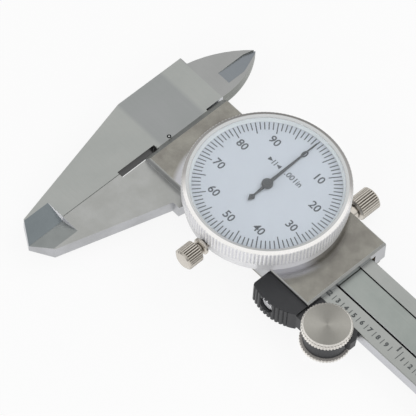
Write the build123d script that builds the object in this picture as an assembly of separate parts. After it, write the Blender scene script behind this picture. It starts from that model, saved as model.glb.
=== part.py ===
from build123d import *
import math
import os

# Six-inch dial caliper, closed. Lengths are in millimetres.
# Sizes are counted from the working corner of the beam: x runs along the beam from the line where
# the jaws close, y runs across it from its centre line towards the inside jaws, and z runs out of
# its front face. Each finished part is moved so that the origin of the model is the centre of the
# fixed jaw's measuring face.

# Beam
travel = 152.4
beam_width = 15.8
beam_thickness = 3.5
beam_end_margin = 4.2
beam_edge_chamfer = 0.25

# Fixed jaw and head
head_back = 14.3
head_top = 13.0
head_shoulder = 2.1
head_taper_start = 6.4
head_corner_radius = 1.0
jaw_depth = 46.5
jaw_tip_width = 5.3
jaw_tip_angle = 31.0
jaw_relief_end = 19.1
fixed_jaw_relief = 0.7
moving_jaw_relief = 1.1
closing_gap = 0.01
tip_bevel_width = 5.0
tip_bevel_depth = 1.75
tip_bevel_length = 10.2
dowel_radius = 0.5
dowel_x = -0.15
dowel_y = -3.7
dowel_length = 2.0

# Inside blades, which lie one behind the other
blade_reach = 27.5
blade_tip_offset = 4.5
blade_back_bulge = 1.1
blade_front_bulge = 1.4
blade_gap = 0.10
moving_blade_narrowing = 2.6
blade_root_length = 4.0
blade_pocket_fit = 0.3
blade_grind_start = 16.6
blade_grind_left = 5.5
blade_grind_right = 1.9
blade_grind_shallow = 0.12
blade_grind_deep = 0.55
blade_grind_left_end = 3.0
blade_grind_right_end = 6.0
blade_grind_overrun = 0.8

# Covered rack in the channel of the beam
rack_pitch = 0.635
rack_pinion_teeth = 16
rack_recess = 0.35
rack_cover = 0.75
rack_width = 6.7
rack_upper_y = 4.285
rack_upper_gap = 0.16
rack_slot_width = 0.625
rack_rib_height = 1.1
rack_rib_back = 0.9
rack_fit = 0.03
rack_lead = 4.0
rack_edge_chamfer = 0.15
pocket_depth = 2.55
channel_start = 6.0
rack_pin_radius = 0.5
rack_pin_y = 3.6
rack_pin_margin = 12.0
rack_pin_length = 2.0

# Depth rod and its groove in the back of the beam
rod_width = 1.6
rod_height = 1.35
rod_y = 2.0
rod_fit = 0.10
rod_root_x = 43.0
rod_rivet_radius = 0.45
rod_rivet_places = (45.5, 50.5)

# End stop
stop_width = 14.0
stop_length = 5.0
stop_height = 1.4
stop_gap = 0.2
stop_screw_y = 5.9

# Slider and moving jaw
slide_fit = 0.05
slider_left = 0.5
slider_right = 54.2
slider_half_width = 12.1
slider_front = 2.0
slider_left_bevel = 1.9
slider_end_chamfer = 0.5
slider_edge_chamfer = 0.25
slider_back_gap = 0.10
jaw_root_x = 13.6
jaw_root_drop = 3.1
jaw_root_step = 2.0
jaw_root_slope = 0.6
back_plate_thickness = 1.2
back_plate_left = 2.0
back_plate_inset = 0.3
back_plate_corner = 1.0
plate_screw_places = (8.0, 49.8)
plate_screw_inset = 1.55

# Gib and its screws
gib_thickness = 0.95
gib_height = 3.0
gib_inset = 1.0
gib_screw_radius = 0.9
gib_screw_places = (14.0, 31.0)
gib_screw_sink = 0.2

# Small screws
screw_radius = 0.7
screw_head_radius = 1.3
screw_head_height = 0.7
screw_slot_width = 0.35
screw_slot_depth = 0.3
screw_fit = 0.03
screw_grip = 2.2

# Knurling: shares of the pitch at which the flat between two grooves starts and ends
knurl_flat = (0.34, 0.66)

# Dial, case and bezel
dial_x = 27.8
dial_y = 0.0
case_radius = 18.7
case_height = 2.4
case_floor = 0.8
case_inner_radius = 15.8
case_screw_places = ((9.2, 9.0), (-9.2, 9.0), (0.0, -10.2))
neck_radius = 17.1
neck_top = 5.3
running_fit = 0.04
bezel_radius = 19.3
bezel_gap = 0.05
bezel_height = 4.75
bezel_window_radius = 18.1
bezel_plain_band = 0.3
bezel_band_step = 0.1
bezel_band_taper = 0.2
bezel_knurl_count = 180
bezel_knurl_depth = 0.28
dial_seat_gap = 0.15
dial_thickness = 0.5
spacer_height = 0.8
spacer_foot_width = 1.05
spacer_lip_width = 0.25
crystal_thickness = 0.4
seat_fit = 0.03
dial_hole_radius = 0.9

# Gear train
pressure_angle = 20.0
tooth_share = 0.46
gear_module = 0.2
drive_teeth = 64
pinion_teeth = 16
takeup_teeth = 40
gear_face = 0.8
gear_floor_gap = 0.5
pinion_face = 1.2
rack_pinion_face = 1.1
rack_pinion_gap = 0.15
slot_neck_radius = 0.24
gear_journal_radius = 0.8
pivot_radius = 0.5
arbor_radius = 0.6
pivot_end_gap = 0.1
bush_wall = 0.6
bridge_height = 2.9
bridge_thickness = 0.8
bridge_edge = 1.5
post_radius = 1.3
post_places = ((5.5, 11.5), (-4.5, 11.8), (-10.3, -8.0), (9.0, -10.9))
hairspring_inner = 0.85
hairspring_outer = 3.2
hairspring_strip = 0.12
hairspring_height = 0.5
hairspring_turn_count = 3
hairspring_step_count = 12
stud_radius = 0.35

# Pointer
pointer_length = 15.9
pointer_tail = 4.9
pointer_tail_point = 1.3
pointer_gap = 0.25
pointer_sheet = 0.15
pointer_boss_radius = 1.3
pointer_boss_height = 0.45
pointer_root_width = 0.9
pointer_tip_width = 0.2
pointer_tail_width = 1.6
pointer_tail_neck = 4.1
pointer_angle = 1.8

# Thumb screws
clamp_height = 1.25
clamp_head_radius = 2.65
clamp_head_length = 4.4
clamp_head_gap = 2.0
clamp_collar_radius = 2.1
clamp_collar_length = 1.05
clamp_collar_chamfer = 0.3
clamp_collar_gap = 0.1
clamp_boss_radius = 1.15
clamp_stem_radius = 0.8
clamp_stem_bite = 2.5
lock_screw_x = 41.6
lock_head_radius = 2.82
lock_head_length = 5.85
lock_neck_radius = 1.6
lock_neck_length = 2.55
lock_stem_radius = 1.0
thumb_knurl_count = 28
thumb_knurl_depth = 0.25
thumb_chamfer = 0.4

# Thumb roller
roller_x = 60.75
tyre_radius = 4.66
tyre_gap = 0.02
tyre_bore_radius = 3.1
roller_front_radius = 5.85
roller_front_thickness = 1.5
roller_front_gap = 0.7
roller_rear_radius = 5.95
roller_rear_thickness = 0.95
roller_axle_radius = 0.9
roller_axle_sink = 0.5
roller_knurl_count = 48
roller_knurl_depth = 0.22
roller_chamfer = 0.3

# Thumb rest that carries the roller
rest_left = 41.7
rest_right = 54.0
rest_front = 1.1
rest_left_depth = 4.9
rest_right_depth = 3.4
rest_bulge = 1.65
rest_tooth_count = 10
rest_tooth_depth = 0.35
rest_tooth_share = 0.85
rest_floor_gap = 0.05
arm_front_gap = 0.2
arm_rear_gap = 0.2
arm_left_width = 4.5
arm_beam_gap = 0.12
ring_gap = 0.10
ring_wall = 0.5
lug_reach = 6.4
lug_side = 2.3
lug_corner = 1.2
lug_drop = 1.8
lug_depth = 3.4
lug_thickness = 2.6
rest_screw_x = 46.75
rest_screw_z = -1.1
rest_screw_depth = 4.2
rest_screw_head = 1.7
rest_screw_head_height = 0.8
rest_counterbore = 2.0

beam_length = slider_right + travel + stop_gap + stop_length + beam_end_margin
beam_half = beam_width / 2
beam_back = -beam_thickness
beam_middle = -beam_thickness / 2
channel_half = beam_half + slide_fit
slider_back = beam_back - slider_back_gap
rest_plane = slider_back - back_plate_thickness
gib_slot_y = channel_half + gib_thickness + slide_fit
gib_start = blade_root_length + slider_left + slide_fit
tip_drop = jaw_tip_width * math.tan(math.radians(jaw_tip_angle))
blade_back_x = -head_back + head_shoulder
jaw_face_centre_y = -(jaw_relief_end + jaw_depth) / 2
row_origin = Location((0, -jaw_face_centre_y, beam_thickness / 2))

# Heights over the front face of the beam
floor_top = slider_front + case_floor
case_top = slider_front + case_height
bezel_bottom = case_top + bezel_gap
bezel_top = bezel_bottom + bezel_height
neck_end = slider_front + neck_top
dial_seat = neck_end + dial_seat_gap
dial_front = dial_seat + dial_thickness
crystal_back = dial_front + spacer_height
gear_bottom = floor_top + gear_floor_gap
gear_top = gear_bottom + gear_face
bridge_bottom = floor_top + bridge_height
bridge_top = bridge_bottom + bridge_thickness
pointer_back = dial_front + pointer_gap
pointer_front = pointer_back + pointer_boss_height
clamp_z = slider_front + clamp_height
dial_reach = max(bezel_radius, case_radius)  # the clamp stands clear of the wider of the two
clamp_head_start = dial_reach + clamp_head_gap
clamp_collar_near = dial_y - dial_reach - clamp_collar_gap
clamp_collar_far = clamp_collar_near - clamp_collar_length

rack_pin_places = (
    channel_start + rack_pin_margin,
    (channel_start + beam_length) / 2,
    beam_length - rack_pin_margin,
)

# The rack pinion turns in the pocket, and its neck stands in the slot beside the rack cover
rack_front = -rack_recess
rack_back = rack_front - rack_cover
slot_high_y = rack_upper_y - rack_width
slot_low_y = slot_high_y - rack_slot_width
rack_module = rack_pitch / math.pi
rack_pinion_radius = rack_module * rack_pinion_teeth / 2
gear_y = (slot_high_y + slot_low_y) / 2
rack_pitch_line = gear_y + rack_pinion_radius
pinion_top = rack_back - rack_pinion_gap
pinion_bottom = pinion_top - rack_pinion_face

# Gear centres: each mesh has a tooth of one wheel in a gap of the other at rest
drive_distance = gear_module * (drive_teeth + pinion_teeth) / 2
gear_x = dial_x + math.sqrt(drive_distance ** 2 - (dial_y - gear_y) ** 2)
mesh_angle = math.degrees(math.atan2(dial_y - gear_y, dial_x - gear_x))
pinion_phase = mesh_angle + 180 + 180 / pinion_teeth
takeup_angle = pinion_phase + 180
takeup_phase = takeup_angle + 180 + 180 / takeup_teeth
takeup_distance = gear_module * (takeup_teeth + pinion_teeth) / 2
takeup_x = dial_x + takeup_distance * math.cos(math.radians(takeup_angle))
takeup_y = dial_y + takeup_distance * math.sin(math.radians(takeup_angle))
arbor_places = ((gear_x, gear_y), (dial_x, dial_y), (takeup_x, takeup_y))

# Roller centre: its tyre runs on the lower edge of the beam
roller_y = -(beam_half + tyre_gap + tyre_radius)
roller_rear_top = rest_plane + roller_rear_thickness
arm_front = roller_front_gap - arm_front_gap
arm_back = roller_rear_top + arm_rear_gap
ring_inner = tyre_radius + ring_gap
ring_outer = ring_inner + ring_wall
rest_left_y = -slider_half_width - rest_left_depth
rest_right_y = -slider_half_width - rest_right_depth
rest_screw_seat = -slider_half_width - rest_screw_depth

os.makedirs("parts", exist_ok=True)


def save(solid, name):
    """Move a finished part to the model's origin and write it."""
    solid = row_origin * solid
    solid.label = name
    export_step(solid, f"parts/{name}.step")


def block(x0, x1, y0, y1, z0, z1):
    return Pos((x0 + x1) / 2, (y0 + y1) / 2, (z0 + z1) / 2) * Box(x1 - x0, y1 - y0, z1 - z0)


def post(x, y, z0, z1, radius):
    return Pos(x, y, (z0 + z1) / 2) * Cylinder(radius, z1 - z0)


def cross_post(x, z, y0, y1, radius):
    """Round bar along y."""
    return Pos(x, (y0 + y1) / 2, z) * Rot(90, 0, 0) * Cylinder(radius, y1 - y0)


def plate(points, z0, z1):
    return extrude(Pos(0, 0, z0) * make_face(Polyline(*points, close=True)), z1 - z0)


def bowed(start, end, bulge):
    """Arc whose middle stands out to the left of the line from start to end."""
    chord = math.dist(start, end)
    middle_x = (start[0] + end[0]) / 2 - bulge * (end[1] - start[1]) / chord
    middle_y = (start[1] + end[1]) / 2 + bulge * (end[0] - start[0]) / chord
    return ThreePointArc(start, (middle_x, middle_y), end)


def gear_points(teeth, module, factors, phase):
    """Outline of a spur gear. The factors give the radii of each flank's points in modules
    from the pitch circle, and the tooth's half width there follows the involute."""
    pitch_radius = module * teeth / 2
    pressure = math.radians(pressure_angle)
    base_radius = pitch_radius * math.cos(pressure)
    flank = []
    for factor in factors:
        radius = pitch_radius + factor * module
        local = math.acos(min(1.0, base_radius / radius))
        widening = math.tan(pressure) - pressure - math.tan(local) + local
        flank.append((radius, math.pi * tooth_share / teeth + widening))
    points = []
    for tooth in range(teeth):
        centre = math.radians(phase) + 2 * math.pi * tooth / teeth
        for radius, half in flank:
            points.append((radius * math.cos(centre - half), radius * math.sin(centre - half)))
        for radius, half in reversed(flank):
            points.append((radius * math.cos(centre + half), radius * math.sin(centre + half)))
    return points


def spur_gear(x, y, z0, z1, teeth, module, factors, phase):
    return Pos(x, y, 0) * plate(gear_points(teeth, module, factors, phase), z0, z1)


def knurled_disc(radius, z0, z1, count, depth, crests=knurl_flat):
    """Disc whose rim carries a row of V grooves along its axis, with a crest or a flat between them."""
    points = []
    for groove in range(count):
        for share, reach in [(0.0, radius - depth)] + [(crest, radius) for crest in crests]:
            angle = 2 * math.pi * (groove + share) / count
            points.append((reach * math.cos(angle), reach * math.sin(angle)))
    return plate(points, z0, z1)


def thumb_head(radius, length):
    """Knurled screw head along z, bevelled at both ends."""
    core = radius - thumb_knurl_depth
    head = knurled_disc(radius, thumb_chamfer, length - thumb_chamfer, thumb_knurl_count, thumb_knurl_depth)
    head += Pos(0, 0, thumb_chamfer / 2) * Cone(core - thumb_chamfer, core, thumb_chamfer)
    return head + Pos(0, 0, length - thumb_chamfer / 2) * Cone(core, core - thumb_chamfer, thumb_chamfer)


def slotted_screw(x, y, head_face, direction, grip=screw_grip):
    """Small screw along z. Its slotted head ends at head_face, on the side given by direction."""
    inner = head_face - direction * screw_head_height
    far = inner - direction * grip
    slot_floor = head_face - direction * screw_slot_depth
    screw = post(x, y, min(inner, head_face), max(inner, head_face), screw_head_radius)
    screw += post(x, y, min(far, inner), max(far, inner), screw_radius)
    return screw - block(x - screw_head_radius, x + screw_head_radius,
                         y - screw_slot_width / 2, y + screw_slot_width / 2,
                         min(slot_floor, head_face), max(slot_floor, head_face))


def screw_hole(x, y, head_face, direction, grip=screw_grip):
    inner = head_face - direction * screw_head_height
    far = inner - direction * (grip + screw_fit)
    hole = post(x, y, min(inner, head_face), max(inner, head_face), screw_head_radius + screw_fit)
    return hole + post(x, y, min(far, inner), max(far, inner), screw_radius + screw_fit)


def tip_wedge(side):
    """What is ground off the front of a jaw tip, deepest at the line where the jaws close."""
    profile = Polyline(
        (side * tip_bevel_width, 0),
        (0, -tip_bevel_depth),
        (-side, -tip_bevel_depth),
        (-side, 1),
        (side * tip_bevel_width, 1),
        close=True)
    wedge = extrude(Rot(90, 0, 0) * make_face(profile), tip_bevel_length + 1)
    return Pos(0, -jaw_depth + tip_bevel_length, 0) * wedge


def blade_outline(back_x):
    """Shark-fin outline that stands on the head's top edge."""
    back = (back_x, head_top)
    root = (0, head_top)
    tip = (-blade_tip_offset, blade_reach)
    return make_face([
        bowed(back, tip, blade_back_bulge),
        bowed(tip, root, blade_front_bulge),
        Line(root, back),
    ])


def blade_grind():
    """Shallow flat ground into the front of the fixed blade, deepening until it runs out past the tip."""
    run_out = blade_reach + blade_grind_overrun
    field = plate([
        (-blade_grind_left, blade_grind_start),
        (-blade_grind_right, blade_grind_start),
        (-blade_grind_right, blade_reach - blade_grind_right_end),
        (-blade_tip_offset, run_out),
        (-blade_grind_left, blade_reach - blade_grind_left_end),
    ], -beam_thickness, 1)
    ramp = Polyline(
        (blade_grind_start, 1),
        (blade_grind_start, -blade_grind_shallow),
        (run_out, -blade_grind_deep),
        (run_out, 1),
        close=True)
    wedge = extrude(Rot(90, 90, 0) * make_face(ramp), head_back, both=True)
    return field & wedge


def make_beam():
    body = plate([
        (0, -jaw_depth),
        (0, head_top),
        (-head_back, head_top),
        (-head_back, -head_taper_start),
        (-jaw_tip_width, -jaw_depth + tip_drop),
    ], beam_back, 0)
    elbow = (-head_back, -head_taper_start, beam_middle)
    body = fillet(body.edges().filter_by(Axis.Z).sort_by_distance(elbow)[0], head_corner_radius)
    body += extrude(Pos(0, 0, beam_back) * blade_outline(blade_back_x), beam_thickness)
    bar = block(-head_back / 2, beam_length, -beam_half, beam_half, beam_back, 0)
    bar = chamfer(bar.edges().filter_by(Axis.X), beam_edge_chamfer)
    body += bar

    # Relief beside the closing line, ground jaw tip and ground blade
    body -= block(-fixed_jaw_relief, 1, -jaw_relief_end, -beam_half, beam_back - 1, 1)
    body -= tip_wedge(-1)
    body -= blade_grind()

    # The back half of the blade and of the head behind it makes room for the moving blade
    parting = beam_middle + blade_gap / 2
    body -= block(-head_back - 1, 1, head_top, blade_reach + 1, beam_back - 1, parting)
    pocket_left = blade_back_x + moving_blade_narrowing - blade_pocket_fit
    body -= block(pocket_left, 0, channel_half + slide_fit, head_top, beam_back - 1, parting)
    body -= block(-slide_fit, 1, channel_half + slide_fit, head_top, beam_back - 1, parting)

    # Channel for the rack cover, and the deeper pocket under it for the rack and its pinion
    pinion_reach = rack_pinion_radius + rack_module + rack_pinion_gap
    body -= block(channel_start, beam_length + 1, slot_low_y, rack_upper_y + rack_upper_gap,
                  rack_back - rack_fit, 1)
    body -= block(channel_start, beam_length + 1, gear_y - pinion_reach,
                  rack_pitch_line + rack_rib_back + rack_fit, -pocket_depth, rack_back)

    # Groove for the depth rod, and holes for pins and stop screws
    body -= block(rod_root_x - 1, beam_length + 1, rod_y - rod_width / 2 - rod_fit,
                  rod_y + rod_width / 2 + rod_fit, beam_back - 1, slider_back + rod_height + rod_fit)
    for x in rack_pin_places:
        body -= post(x, rack_pin_y, rack_front - rack_pin_length - rack_fit, 0, rack_pin_radius + rack_fit)
    body -= post(dowel_x, dowel_y, -dowel_length - rack_fit, 1, dowel_radius + rack_fit)
    for x, y in stop_screw_places():
        body -= screw_hole(x, y, stop_height, 1)
    return body


def stop_screw_places():
    x = slider_right + travel + stop_gap + stop_length / 2
    return ((x, stop_screw_y), (x, -stop_screw_y))


def make_rack():
    """Cover strip with a toothed rib under it, which meets the pinion from the inside."""
    start = channel_start + rack_upper_gap
    strip = block(start, beam_length, slot_high_y, rack_upper_y, rack_back, rack_front)
    edge = strip.edges().filter_by(Axis.X).sort_by_distance((start, slot_high_y, rack_front))[0]
    strip = chamfer(edge, rack_edge_chamfer)
    slope = math.tan(math.radians(pressure_angle))
    tip_y = rack_pitch_line - 0.95 * rack_module
    root_y = rack_pitch_line + 1.25 * rack_module
    half = rack_pitch * tooth_share / 2
    tip_half = half - slope * 0.95 * rack_module
    root_half = half + slope * 1.25 * rack_module
    first = -math.ceil(rack_lead / rack_pitch)
    last = math.ceil((travel + rack_lead) / rack_pitch)
    points = []
    for tooth in range(first, last):
        x = gear_x + (tooth + 0.5) * rack_pitch
        points += [(x - root_half, root_y), (x - tip_half, tip_y)]
        points += [(x + tip_half, tip_y), (x + root_half, root_y)]
    back_y = rack_pitch_line + rack_rib_back
    points += [(points[-1][0], back_y), (points[0][0], back_y)]
    rack = strip + plate(points, rack_back - rack_rib_height, rack_back)
    for x in rack_pin_places:
        rack -= post(x, rack_pin_y, rack_back - 1, 1, rack_pin_radius + rack_fit)
    return rack


def make_slider():
    body = block(slider_left, slider_right, -slider_half_width, slider_half_width,
                 slider_back, slider_front)
    front = body.faces().sort_by(Axis.Z)[-1]
    body = chamfer(front.edges().sort_by(Axis.X)[0], slider_left_bevel)
    front = body.faces().filter_by(Axis.Z).sort_by(Axis.Z)[-1]
    body = chamfer(front.edges().sort_by(Axis.X)[-1], slider_end_chamfer)
    front = body.faces().filter_by(Axis.Z).sort_by(Axis.Z)[-1]
    body = chamfer(front.edges().filter_by(Axis.X), slider_edge_chamfer)
    body += plate([
        (closing_gap, -jaw_depth),
        (jaw_tip_width, -jaw_depth + tip_drop),
        (jaw_root_x, -slider_half_width - jaw_root_drop),
        (jaw_root_x + jaw_root_step, -slider_half_width - jaw_root_drop),
        (jaw_root_x + jaw_root_step + jaw_root_slope, -slider_half_width),
        (jaw_root_x + jaw_root_step + jaw_root_slope, -channel_half),
        (closing_gap, -channel_half),
    ], beam_back, 0)
    body -= block(slider_left - 1, slider_right + 1, -channel_half, channel_half, slider_back - 1, slide_fit)
    body -= block(slider_left - 1, slider_right + 1, 0, gib_slot_y, slider_back - 1, slide_fit)
    body -= block(-1, moving_jaw_relief, -jaw_relief_end, -channel_half, slider_back - 1, slider_front + 1)
    body -= tip_wedge(1)

    # Moving blade: it reaches behind the head from the upper rail
    parting = beam_middle - blade_gap / 2
    back_x = blade_back_x + moving_blade_narrowing
    blade = extrude(Pos(0, 0, beam_back) * blade_outline(back_x), parting - beam_back)
    root_y = channel_half + 2 * slide_fit + blade_pocket_fit
    blade += plate([
        (back_x, head_top),
        (back_x + moving_blade_narrowing, root_y),
        (slider_left + blade_root_length, root_y),
        (slider_left + blade_root_length, slider_half_width),
        (0, slider_half_width),
        (0, head_top),
    ], beam_back, parting)
    body += blade

    # Holes: gear journal, screws of the plate, gib, case, thumb rest and slider lock
    body -= post(gear_x, gear_y, -1, slider_front + 1, gear_journal_radius + running_fit)
    for x, y in plate_screw_positions():
        body -= screw_hole(x, y, rest_plane, -1)
    for x in gib_screw_places:
        body -= cross_post(x, beam_middle, channel_half, slider_half_width + 1,
                           gib_screw_radius + screw_fit)
    body -= cross_post(lock_screw_x, beam_middle, channel_half, slider_half_width + 1,
                       lock_stem_radius + running_fit)
    for x, y in case_screw_positions():
        body -= screw_hole(x, y, floor_top + screw_head_height, 1)
    return body - cross_post(rest_screw_x, rest_screw_z, -slider_half_width - 1,
                             rest_screw_end() + screw_fit, screw_radius + screw_fit)


def plate_screw_positions():
    y = slider_half_width - plate_screw_inset
    return [(x, side * y) for x in plate_screw_places for side in (-1, 1)]


def case_screw_positions():
    return [(dial_x + x, dial_y + y) for x, y in case_screw_places]


def post_positions():
    return [(dial_x + x, dial_y + y) for x, y in post_places]


def make_back_plate():
    body = block(back_plate_left, slider_right - back_plate_inset, -slider_half_width + back_plate_inset,
                 slider_half_width - back_plate_inset, rest_plane, slider_back)
    body = fillet(body.edges().filter_by(Axis.Z), back_plate_corner)
    for x, y in plate_screw_positions():
        body -= screw_hole(x, y, rest_plane, -1)
    for x in rod_rivet_places:
        body -= post(x, rod_y, rest_plane - 1, slider_back + 1, rod_rivet_radius + rack_fit)
    return body


def make_gib():
    return block(gib_start, slider_right - gib_inset, channel_half, gib_slot_y - slide_fit,
                 beam_middle - gib_height / 2, beam_middle + gib_height / 2)


def make_gib_screws():
    screws = []
    for x in gib_screw_places:
        end = slider_half_width - gib_screw_sink
        screw = cross_post(x, beam_middle, gib_slot_y - slide_fit, end, gib_screw_radius)
        screws.append(screw - block(x - gib_screw_radius, x + gib_screw_radius,
                                    end - screw_slot_depth, end,
                                    beam_middle - screw_slot_width / 2,
                                    beam_middle + screw_slot_width / 2))
    return Compound(screws)


def make_depth_rod():
    body = block(rod_root_x, beam_length, rod_y - rod_width / 2, rod_y + rod_width / 2,
                 slider_back + rack_fit, slider_back + rack_fit + rod_height - rod_fit)
    for x in rod_rivet_places:
        body -= post(x, rod_y, slider_back - 1, beam_middle, rod_rivet_radius + rack_fit)
    return body


def make_rod_rivets():
    rivet_top = slider_back + rod_height - rod_fit
    return Compound([post(x, rod_y, rest_plane + rack_fit, rivet_top, rod_rivet_radius)
                     for x in rod_rivet_places])


def make_end_stop():
    x = slider_right + travel + stop_gap
    body = block(x, x + stop_length, -stop_width / 2, stop_width / 2, 0, stop_height)
    body = chamfer(body.edges().group_by(Axis.Z)[-1], beam_edge_chamfer)
    for screw_x, screw_y in stop_screw_places():
        body -= screw_hole(screw_x, screw_y, stop_height, 1)
    return body


def make_case():
    body = post(dial_x, dial_y, slider_front, case_top, case_radius)
    body += post(dial_x, dial_y, case_top, neck_end, neck_radius)
    body -= post(dial_x, dial_y, floor_top, neck_end + 1, case_inner_radius)
    for (x, y), radius in zip(arbor_places, (gear_journal_radius, pivot_radius, pivot_radius)):
        body -= post(x, y, slider_front - 1, floor_top + 1, radius + running_fit + bush_wall)
    for x, y in case_screw_positions():
        body -= screw_hole(x, y, floor_top + screw_head_height, 1)
    body -= cross_post(dial_x, clamp_z, dial_y - case_radius - 1, dial_y - case_inner_radius + 1,
                       clamp_stem_radius + running_fit)
    return body


def make_bushes(z0, z1, radii):
    bushes = []
    for (x, y), radius in zip(arbor_places, radii):
        bore = radius + running_fit
        outer = bore + bush_wall - seat_fit / 2
        bushes.append(post(x, y, z0, z1, outer) - post(x, y, z0 - 1, z1 + 1, bore))
    return Compound(bushes)


def make_bridge():
    """Plate over the gears: the hull of the rounds around its posts."""
    rounds = [Pos(x, y) * CenterArc((0, 0), bridge_edge, 0, 360) for x, y in post_positions()]
    face = make_hull([edge for arc in rounds for edge in arc.edges()])
    body = extrude(Pos(0, 0, bridge_bottom) * face, bridge_thickness)
    for x, y in arbor_places:
        body -= post(x, y, bridge_bottom - 1, bridge_top + 1, pivot_radius + running_fit + bush_wall)
    for x, y in post_positions():
        body -= screw_hole(x, y, bridge_top + screw_head_height, 1)
    stud_x, stud_y = stud_place()
    return body - post(stud_x, stud_y, bridge_bottom - 1, bridge_top + 1, stud_radius + screw_fit)


def make_posts():
    posts = []
    for x, y in post_positions():
        posts.append(post(x, y, floor_top, bridge_bottom, post_radius)
                     - screw_hole(x, y, bridge_top + screw_head_height, 1))
    return Compound(posts)


def stud_place():
    return takeup_x, takeup_y + hairspring_outer + hairspring_strip + stud_radius


def make_hairspring():
    """Flat spiral strip around the take-up arbor, which ends at the stud."""
    bottom = gear_top + gear_floor_gap
    steps = hairspring_turn_count * hairspring_step_count
    inner = []
    outer = []
    for step in range(steps + 1):
        angle = math.pi / 2 + 2 * math.pi * step / hairspring_step_count
        radius = hairspring_inner + (hairspring_outer - hairspring_inner) * step / steps
        inner.append((takeup_x + radius * math.cos(angle), takeup_y + radius * math.sin(angle)))
        radius += hairspring_strip
        outer.append((takeup_x + radius * math.cos(angle), takeup_y + radius * math.sin(angle)))
    return plate(inner + outer[::-1], bottom, bottom + hairspring_height)


def make_stud():
    x, y = stud_place()
    return post(x, y, gear_top + gear_floor_gap, bridge_top, stud_radius)


def make_gear_shaft():
    """Rack pinion, slim neck through the slot, journal in the slider and pivot in the bridge."""
    shaft = spur_gear(gear_x, gear_y, pinion_bottom, pinion_top, rack_pinion_teeth, rack_module,
                      (-1.2, 0, 0.95), 90)
    shaft += post(gear_x, gear_y, pinion_top, slide_fit, slot_neck_radius)
    shaft += post(gear_x, gear_y, slide_fit, bridge_bottom - pivot_end_gap, gear_journal_radius)
    return shaft + post(gear_x, gear_y, bridge_bottom - pivot_end_gap, bridge_top, pivot_radius)


def make_drive_gear():
    gear = spur_gear(gear_x, gear_y, gear_bottom, gear_top, drive_teeth, gear_module, (-1.2, 1.0), mesh_angle)
    return gear - post(gear_x, gear_y, gear_bottom - 1, gear_top + 1, gear_journal_radius + seat_fit / 2)


def make_pointer_arbor():
    middle = (gear_bottom + gear_top) / 2
    arbor = post(dial_x, dial_y, slider_front + pivot_end_gap, pointer_front, pivot_radius)
    arbor += post(dial_x, dial_y, floor_top + pivot_end_gap, bridge_bottom - pivot_end_gap, arbor_radius)
    return arbor + spur_gear(dial_x, dial_y, middle - pinion_face / 2, middle + pinion_face / 2,
                             pinion_teeth, gear_module, (-1.2, 0, 1.0), pinion_phase)


def make_takeup_arbor():
    arbor = post(takeup_x, takeup_y, slider_front + pivot_end_gap, bridge_top, pivot_radius)
    return arbor + post(takeup_x, takeup_y, floor_top + pivot_end_gap,
                        bridge_bottom - pivot_end_gap, arbor_radius)


def make_takeup_wheel():
    wheel = spur_gear(takeup_x, takeup_y, gear_bottom, gear_top, takeup_teeth, gear_module,
                      (-1.2, 1.0), takeup_phase)
    return wheel - post(takeup_x, takeup_y, gear_bottom - 1, gear_top + 1, arbor_radius + seat_fit / 2)


def make_pointer():
    """Tapered needle with an arrow-shaped tail, pressed from sheet, on a turned boss."""
    needle = plate([
        (-pointer_tail_neck, -pointer_tip_width),
        (-pointer_tail, -pointer_tail_width / 2),
        (-pointer_tail - pointer_tail_point, 0),
        (-pointer_tail, pointer_tail_width / 2),
        (-pointer_tail_neck, pointer_tip_width),
        (0, pointer_root_width / 2),
        (pointer_length, pointer_tip_width / 2),
        (pointer_length, -pointer_tip_width / 2),
        (0, -pointer_root_width / 2),
    ], pointer_back, pointer_back + pointer_sheet)
    body = Rot(0, 0, 90 + pointer_angle) * needle
    body += post(0, 0, pointer_back, pointer_front, pointer_boss_radius)
    body -= post(0, 0, pointer_back - 1, pointer_front + 1, pivot_radius + seat_fit / 2)
    return Pos(dial_x, dial_y, 0) * body


def make_bezel():
    band = bezel_top - bezel_plain_band
    edge = bezel_radius - bezel_band_step
    body = knurled_disc(bezel_radius, bezel_bottom, band, bezel_knurl_count, bezel_knurl_depth, (0.5,))
    body += Pos(0, 0, band + bezel_plain_band / 2) * Cone(edge, edge - bezel_band_taper, bezel_plain_band)
    body -= post(0, 0, bezel_bottom - 1, bezel_top, neck_radius + running_fit)
    body -= post(0, 0, dial_seat, bezel_top + 1, bezel_window_radius)
    return Pos(dial_x, dial_y, 0) * body


def make_dial_face():
    body = post(dial_x, dial_y, dial_seat, dial_front, bezel_window_radius - seat_fit)
    return body - post(dial_x, dial_y, dial_seat - 1, dial_front + 1, dial_hole_radius)


def make_spacer():
    """Ring that keeps the crystal off the dial. Its inside slopes from the dial out to the crystal."""
    body = post(dial_x, dial_y, dial_front, crystal_back, bezel_window_radius - seat_fit)
    return body - Pos(dial_x, dial_y, dial_front + spacer_height / 2) * Cone(
        bezel_window_radius - spacer_foot_width, bezel_window_radius - spacer_lip_width, spacer_height)


def make_crystal():
    return post(dial_x, dial_y, crystal_back, crystal_back + crystal_thickness,
                bezel_window_radius - seat_fit)


def make_bezel_clip():
    """Collar that the clamp screw draws up against the case."""
    seat = dial_y - case_radius + 1
    collar = cross_post(dial_x, clamp_z, clamp_collar_far, clamp_collar_near, clamp_collar_radius)
    collar = chamfer(collar.edges().filter_by(GeomType.CIRCLE), clamp_collar_chamfer)
    body = collar + cross_post(dial_x, clamp_z, clamp_collar_near, seat, clamp_boss_radius)
    body -= post(dial_x, dial_y, slider_front - 1, case_top + 1, case_radius + seat_fit / 2)
    return body - cross_post(dial_x, clamp_z, dial_y - clamp_head_start - 1, seat + 1,
                             clamp_stem_radius + running_fit)


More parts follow.
